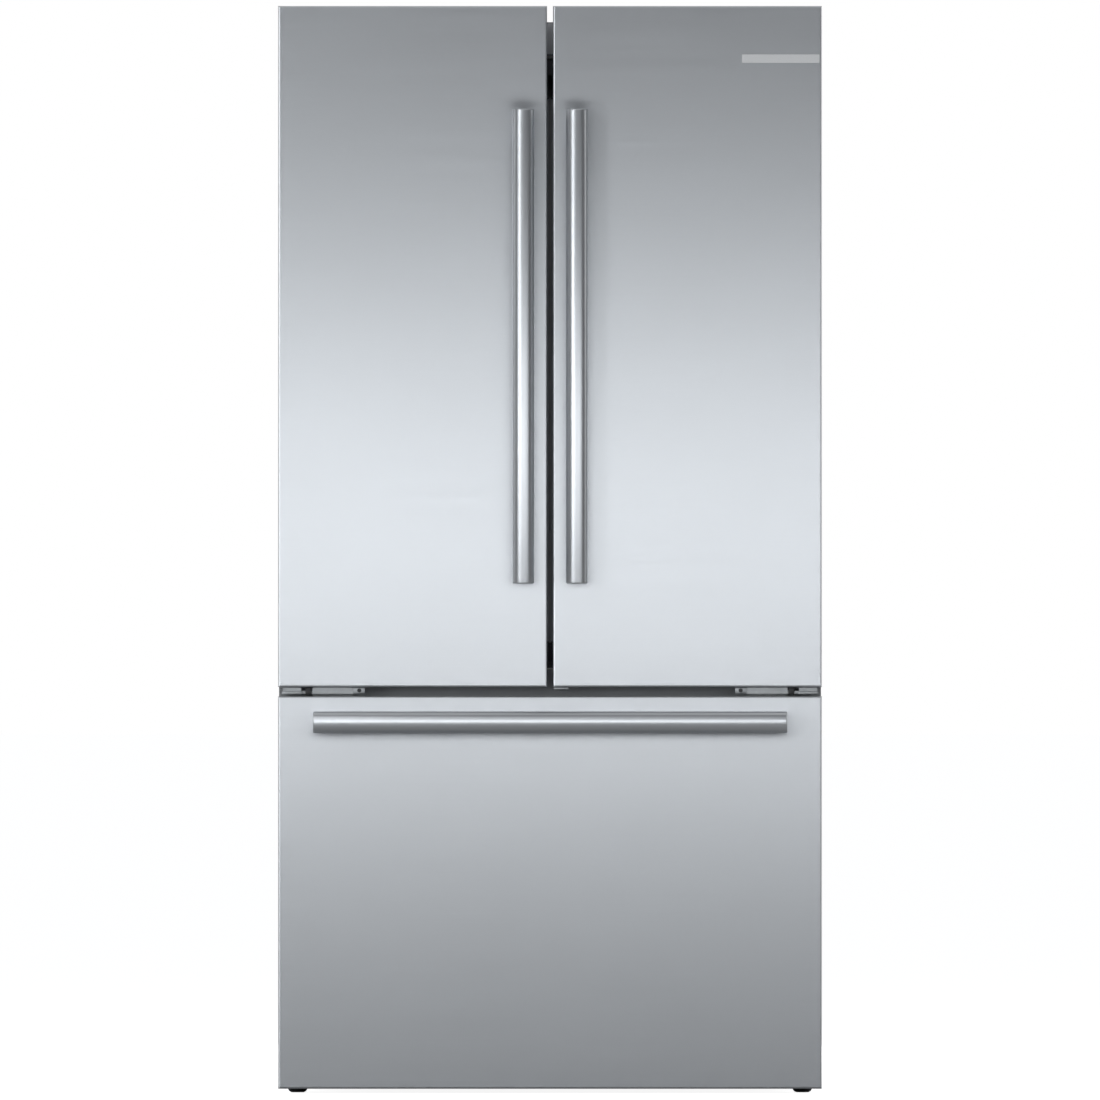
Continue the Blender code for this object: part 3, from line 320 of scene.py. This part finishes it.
def make_handle(node, body, upright):
    """A smooth bar in place of the faceted one, with posts that round into the door."""
    low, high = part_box(node)
    back = low.y + BAR_DEPTH
    span = (low.z, high.z) if upright else (low.x, high.x)
    middle = (low.x + high.x) / 2 if upright else (low.z + high.z) / 2
    width = (high.x - low.x) if upright else (high.z - low.z)
    bm = bmesh.new()
    sections = []
    for along, inset in bar_rings(*span):
        outline = bar_section(width, BAR_DEPTH, inset)
        if upright:
            sections.append([(middle + a, back - f, along) for a, f in outline])
        else:
            sections.append([(along, back - f, middle + a) for a, f in outline])
    loft(bm, sections)
    look = "bar_upright" if upright else "bar_cross"
    bar = add_piece(f"{node}_bar", bm, body, look, smooth=True)
    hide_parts(node)
    posts = []
    for start in (span[0] + 0.0006, span[1] - POST_LENGTH - 0.0006):
        if upright:
            posts.append(((middle - POST_HALF, back - 0.003, start),
                          (middle + POST_HALF, high.y, start + POST_LENGTH)))
        else:
            posts.append(((start, back - 0.003, middle - POST_HALF),
                          (start + POST_LENGTH, high.y, middle + POST_HALF)))
    blocks(f"{node}_posts", posts, body, look, 0.0022, 4)


def make_handles():
    make_handle("left_door_handle", "left_door", True)
    make_handle("right_door_handle", "right_door", True)
    make_handle("freezer_handle", "freezer_drawer", False)


# ---------------------------------------------------------------- interior details
GLASS_THICK = 0.004
FRAME_THICK = 0.0098
SHELF_REAR = 0.286
ARM_X = (0.080, 0.385)       # distance of the shelf arms from the middle
VENT_GROUPS = 6
VENT_PITCH = 0.115
TRACK_SPAN = (0.975, 1.690)  # ends of the wall tracks
TRACK_SLOTS = 22
TRACK_PITCH = 0.032


def make_shelf(node):
    """A glass pane in a white frame with a metal strip in front."""
    low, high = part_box(node)
    top = high.z
    rear = SHELF_REAR
    frame_low = top - FRAME_THICK
    rails = [
        ((low.x, low.y, frame_low), (high.x, low.y + 0.018, top)),
        ((low.x, rear - 0.016, frame_low), (high.x, rear, top)),
        ((low.x, low.y + 0.0182, frame_low), (low.x + 0.012, rear - 0.0162, top)),
        ((high.x - 0.012, low.y + 0.0182, frame_low), (high.x, rear - 0.0162, top)),
    ]
    blocks(f"{node}_frame", rails, "cabinet", "white", 0.0016, 3)
    pane = [((low.x + 0.0124, low.y + 0.0186, top - 0.0015 - GLASS_THICK),
             (high.x - 0.0124, rear - 0.0166, top - 0.0015))]
    glass = blocks(f"{node}_pane", pane, "cabinet", "glass", 0.0006)
    strip = [((low.x + 0.004, low.y - 0.0012, top - 0.0078),
              (high.x - 0.004, low.y - 0.0002, top - 0.0022))]
    blocks(f"{node}_strip", strip, "cabinet", "alu", 0.0003)
    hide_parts(node)
    return low, high, top


def make_shelf_arms(node, low, high, top):
    """Tapered white arms under the shelf, on the same lines as the wall tracks."""
    bm = bmesh.new()
    for x in (-ARM_X[1], -ARM_X[0], ARM_X[0], ARM_X[1]):
        if not low.x < x < high.x:
            continue
        under = top - 0.0101
        outline = [(low.y + 0.015, under), (low.y + 0.015, under - 0.0078), (0.300, under - 0.0395),
                   (0.3178, under - 0.0395), (0.3178, under)]
        sections = [[(x + dx, y, z) for y, z in outline] for dx in (-0.0014, 0.0014)]
        loft(bm, sections)
    add_piece(f"{node}_arms", bm, "cabinet", "white")


def make_shelves():
    for node in ("left_upper_shelf", "right_upper_shelf", "wide_lower_shelf", "crisper_cover"):
        low, high, top = make_shelf(node)
        if node != "crisper_cover":
            make_shelf_arms(node, low, high, top)


def make_duct_vents():
    """Groups of louvres down the front of the air duct."""
    low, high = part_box("air_duct")
    slats = []
    for group in range(VENT_GROUPS):
        base = low.z + 0.07 + group * VENT_PITCH
        for row in range(3):
            z = base + row * 0.011
            for side in (-1, 1):
                near, far = sorted((side * 0.010, side * 0.046))
                slats.append(((near, low.y - 0.0025, z), (far, low.y - 0.0002, z + 0.0045)))
    blocks("duct_louvres", slats, "cabinet", "dark", 0.0008)


def make_ladders():
    """Upright tracks on the rear wall: a pair of ribs with a row of slots between them; the slots
    are thin dark patches, painted shade for the dark inside of the holes.
    """
    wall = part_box("air_duct")[1].y
    ribs = []
    slot_shades = []
    for x in (-ARM_X[1], -ARM_X[0], ARM_X[0], ARM_X[1]):
        for side in (-1, 1):
            near, far = sorted((x + side * 0.0034, x + side * 0.0076))
            ribs.append(((near, wall - 0.0026, TRACK_SPAN[0]), (far, wall - 0.0001, TRACK_SPAN[1])))
        for index in range(TRACK_SLOTS):
            z = TRACK_SPAN[0] + 0.010 + index * TRACK_PITCH
            slot_shades.append(((x - 0.0020, wall - 0.0002, z), (x + 0.0020, wall - 0.0001, z + 0.014)))
    blocks("shelf_tracks", ribs, "cabinet", "zinc", 0.0008)
    # painted shade: each slot is a flat dark patch on the wall, standing for the shadow inside the
    # hole
    blocks("track_slot_shades", slot_shades, "cabinet", "dark", 0.0)


def make_bin_trims():
    """A metal band on each door bin and the dairy box, and a white grip on each crisper."""
    bins = {
        "left_door_upper_bin": "left_door", "left_door_lower_bin": "left_door",
        "right_door_lower_bin": "right_door", "dairy_box": "right_door",
    }
    for node, body in bins.items():
        low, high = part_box(node)
        band = [((low.x + 0.003, high.y + 0.0002, high.z - 0.026),
                 (high.x - 0.003, high.y + 0.0030, high.z - 0.004))]
        blocks(f"{node}_band", band, body, "alu", 0.0008)
    for node in ("left_crisper", "right_crisper"):
        low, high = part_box(node)
        grip = [((low.x + 0.02, low.y - 0.0035, high.z - 0.034),
                 (high.x - 0.02, low.y - 0.0002, high.z - 0.004)),
                ((low.x + 0.03, low.y - 0.0050, high.z - 0.036),
                 (high.x - 0.03, low.y - 0.0030, high.z - 0.029))]
        blocks(f"{node}_grip", grip, node, "white", 0.0008)


def make_gasket_details():
    """Soft edges on the gaskets, and grey faces on the lips and flange seen in the door gap, their
    light grey partly painted light for the shaded gap.
    """
    for node in ("left_door_gasket", "right_door_gasket", "freezer_gasket"):
        nodes[node].modifiers.new("soft_edges", "BEVEL").width = 0.0012
    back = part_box("left_door_skin")[1].y
    # Grey faces in the gap between the doors: a grey paint, made lighter partly as painted light for
    # the deep, shaded gap
    for side, label in ((-1, "left"), (1, "right")):
        near, far = sorted((side * 0.0012, side * 0.0046))
        face = [((near, back - 0.0002, 0.752), (far, back + 0.0004, 1.657))]
        blocks(f"{label}_gap_face", face, f"{label}_door", "grey_strip", 0.0)
    # Light grey face on the top flange: partly painted light for the shaded gap above the doors
    panel_low, panel_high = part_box("top_panel")
    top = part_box("fridge_liner")[1].z
    strip = [((-0.405, panel_low.y - 0.0003, top + 0.004),
              (0.405, panel_low.y - 0.0001, panel_high.z - 0.002))]
    blocks("top_flange_face", strip, "cabinet", "flange", 0.0)


def make_rear_details():
    """Screws on the machine cover, and the casing's folded edge beside and above it."""
    low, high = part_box("machine_cover")
    bm = bmesh.new()
    for x in (-0.415, -0.14, 0.14, 0.415):
        for z in (low.z + 0.008, high.z - 0.008):
            add_disc(bm, (x, high.y - 0.0006, z), "Y", 0.0042, 0.0010, 20)
    add_piece("cover_screws", bm, "cabinet", "zinc", smooth=True)
    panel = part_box("rear_panel")[0]
    foam_low, foam_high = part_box("cabinet_foam")
    near, far = foam_high.y + 0.0001, foam_high.y + 0.0009
    edge_top = panel.z - 0.0003
    fold = [((foam_low.x, near, foam_low.z), (low.x - 0.0003, far, edge_top)),
            ((high.x + 0.0003, near, foam_low.z), (foam_high.x, far, edge_top)),
            ((low.x, near, high.z + 0.0003), (high.x, far, edge_top))]
    blocks("rear_folded_edge", fold, "cabinet", "casing", 0.0)


PAD_LEVEL = 0.6655           # height that the pads and blocks of the centre hinges are set from


def make_hinge_details():
    """Cover screws; pads, blocks, tabs and screws on the centre hinges; the right door's stop. The
    dark blocks are partly painted shade for the dark gap between the hinge plates.
    """
    for label, side in (("left", -1), ("right", 1)):
        low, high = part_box(f"{label}_hinge_cover")
        bm = bmesh.new()
        middle = ((low.x + high.x) / 2, (low.y + high.y) / 2 + 0.02, high.z + 0.0003)
        add_disc(bm, middle, "Z", 0.0048, 0.0008, 24, 0.0008)
        add_piece(f"{label}_cover_screw", bm, "cabinet", "zinc", smooth=True)
        plate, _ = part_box(f"{label}_centre_hinge")
        front = plate.y + 0.0004
        base = PAD_LEVEL
        near, far = sorted((side * 0.4130, side * 0.4465))
        pad = ((near, front, base - 0.0010), (far, front + 0.0072, base + 0.0034))
        # The dark block stands for a black pin block and is also painted shade for the dark gap
        # between the hinge plates
        near, far = sorted((side * 0.3975, side * 0.4070))
        block = ((near, front - 0.0012, base - 0.0008), (far, front + 0.0040, base + 0.0098))
        blocks(f"{label}_hinge_pad", [pad], "cabinet", "zinc", 0.0007)
        blocks(f"{label}_hinge_block_and_shade", [block], "cabinet", "dark", 0.0007)
        near, far = sorted((side * 0.3085, side * 0.3278))
        tab = [((near, front, base + 0.0004), (far, front + 0.0030, base + 0.0100))]
        blocks(f"{label}_hinge_tab", tab, "cabinet", "zinc", 0.0005)
        bm = bmesh.new()
        add_disc(bm, (side * 0.3175, front - 0.0004, base + 0.0054), "Y", 0.0034, 0.0007, 24)
        add_piece(f"{label}_plate_screw", bm, "cabinet", "dark", smooth=True)
    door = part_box("right_door_skin")[0]
    stop = [((door.x + 0.0015, door.y + 0.010, door.z - 0.0042),
             (door.x + 0.0255, door.y + 0.030, door.z - 0.0003))]
    blocks("door_cam_stop", stop, "right_door", "zinc", 0.0006)


# ---------------------------------------------------------------- studio
PHOTO_SPAN = 1.8313          # width of the view at the door faces, in metres
EYE_HEIGHT = 0.9048
LENS = 1000.0               # a distant camera: the view is close to parallel
SENSOR = 36.0


def make_camera():
    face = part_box("left_door_skin")[0].y
    distance = PHOTO_SPAN * LENS / SENSOR
    camera = bpy.data.cameras.new("camera")
    camera.lens = LENS
    camera.sensor_width = SENSOR
    camera.clip_end = 150.0
    obj = bpy.data.objects.new("camera", camera)
    obj.location = (0.0, face - distance, EYE_HEIGHT)
    obj.rotation_euler = (math.pi / 2, 0.0, 0.0)
    bpy.context.collection.objects.link(obj)
    bpy.context.scene.camera = obj


def seen_by_camera(tree, hidden, shown, target):
    """Join two shaders: shown to the camera, hidden to every other ray."""
    ray = tree.nodes.new("ShaderNodeLightPath")
    mix = tree.nodes.new("ShaderNodeMixShader")
    tree.links.new(ray.outputs["Is Camera Ray"], mix.inputs[0])
    tree.links.new(hidden, mix.inputs[1])
    tree.links.new(shown, mix.inputs[2])
    tree.links.new(mix.outputs[0], target)


def make_floor():
    """A pale floor that the camera sees as white; every other ray meets a dim grey."""
    bm = bmesh.new()
    bmesh.ops.create_grid(bm, x_segments=2, y_segments=2, size=120.0)
    mesh = bpy.data.meshes.new("floor")
    bm.to_mesh(mesh)
    bm.free()
    floor = bpy.data.objects.new("floor", mesh)
    bpy.context.collection.objects.link(floor)
    mat = bpy.data.materials.new("floor_pale")
    mat.use_nodes = True
    tree = mat.node_tree
    tree.nodes.clear()
    output = tree.nodes.new("ShaderNodeOutputMaterial")
    dim = tree.nodes.new("ShaderNodeBsdfDiffuse")
    dim.inputs["Color"].default_value = (0.38, 0.38, 0.38, 1.0)
    glow = tree.nodes.new("ShaderNodeEmission")
    glow.inputs["Color"].default_value = (0.90, 0.90, 0.90, 1.0)
    pale = tree.nodes.new("ShaderNodeBsdfDiffuse")
    pale.inputs["Color"].default_value = (0.93, 0.93, 0.93, 1.0)
    both = tree.nodes.new("ShaderNodeAddShader")
    tree.links.new(glow.outputs[0], both.inputs[0])
    tree.links.new(pale.outputs[0], both.inputs[1])
    seen_by_camera(tree, dim.outputs[0], both.outputs[0], output.inputs["Surface"])
    mesh.materials.append(mat)


def area_light(name, location, target, width, height, power, colour=(1.0, 1.0, 1.0)):
    light = bpy.data.lights.new(name, "AREA")
    light.shape = "RECTANGLE"
    light.size = width
    light.size_y = height
    light.energy = power
    light.color = colour
    obj = bpy.data.objects.new(name, light)
    obj.location = location
    aim = Vector(target) - Vector(location)
    obj.rotation_euler = aim.to_track_quat("-Z", "Y").to_euler()
    obj.visible_camera = False
    bpy.context.collection.objects.link(obj)


def make_world():
    world = bpy.data.worlds.new("studio")
    bpy.context.scene.world = world
    world.use_nodes = True
    tree = world.node_tree
    dim = tree.nodes["Background"]
    dim.inputs["Color"].default_value = (0.101, 0.104, 0.109, 1.0)
    white = tree.nodes.new("ShaderNodeBackground")
    white.inputs["Color"].default_value = (1.0, 1.0, 1.0, 1.0)
    target = tree.nodes["World Output"].inputs["Surface"]
    seen_by_camera(tree, dim.outputs[0], white.outputs[0], target)


def make_lights():
    """A low soft band in front shades the steel; a tall strip at the left edges the bars."""
    cool = (0.955, 0.98, 1.0)
    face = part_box("left_door_skin")[0].y
    area_light("front_band", (0.05, face - 2.25, 0.93), (0.05, face, 0.93), 3.6, 0.62, 15.6, cool)
    area_light("front_high", (0.0, face - 6.0, 5.0), (0.0, face, 0.6), 5.0, 1.6, 18.0, cool)
    area_light("left_strip", (-2.65, face - 4.2, 2.2), (0.0, face, 1.1), 0.9, 5.6, 62.0, cool)
    area_light("side_left", (-4.2, 1.0, 1.6), (0.0, 0.1, 0.9), 3.8, 3.8, 44.0)
    area_light("side_right", (4.2, 1.0, 1.6), (0.0, 0.1, 0.9), 3.8, 3.8, 44.0)
    area_light("top_soft", (0.0, 0.6, 4.2), (0.0, 0.1, 0.9), 4.6, 4.6, 36.0)
    area_light("rear_fill", (0.8, 4.4, 1.7), (0.0, 0.0, 0.9), 3.2, 2.4, 60.0)


bpy.context.scene.view_settings.view_transform = "Standard"
make_camera()
make_floor()
make_world()
make_lights()
paint_frame()
make_handles()
make_shelves()
make_duct_vents()
make_ladders()
make_bin_trims()
make_gasket_details()
make_rear_details()
make_hinge_details()
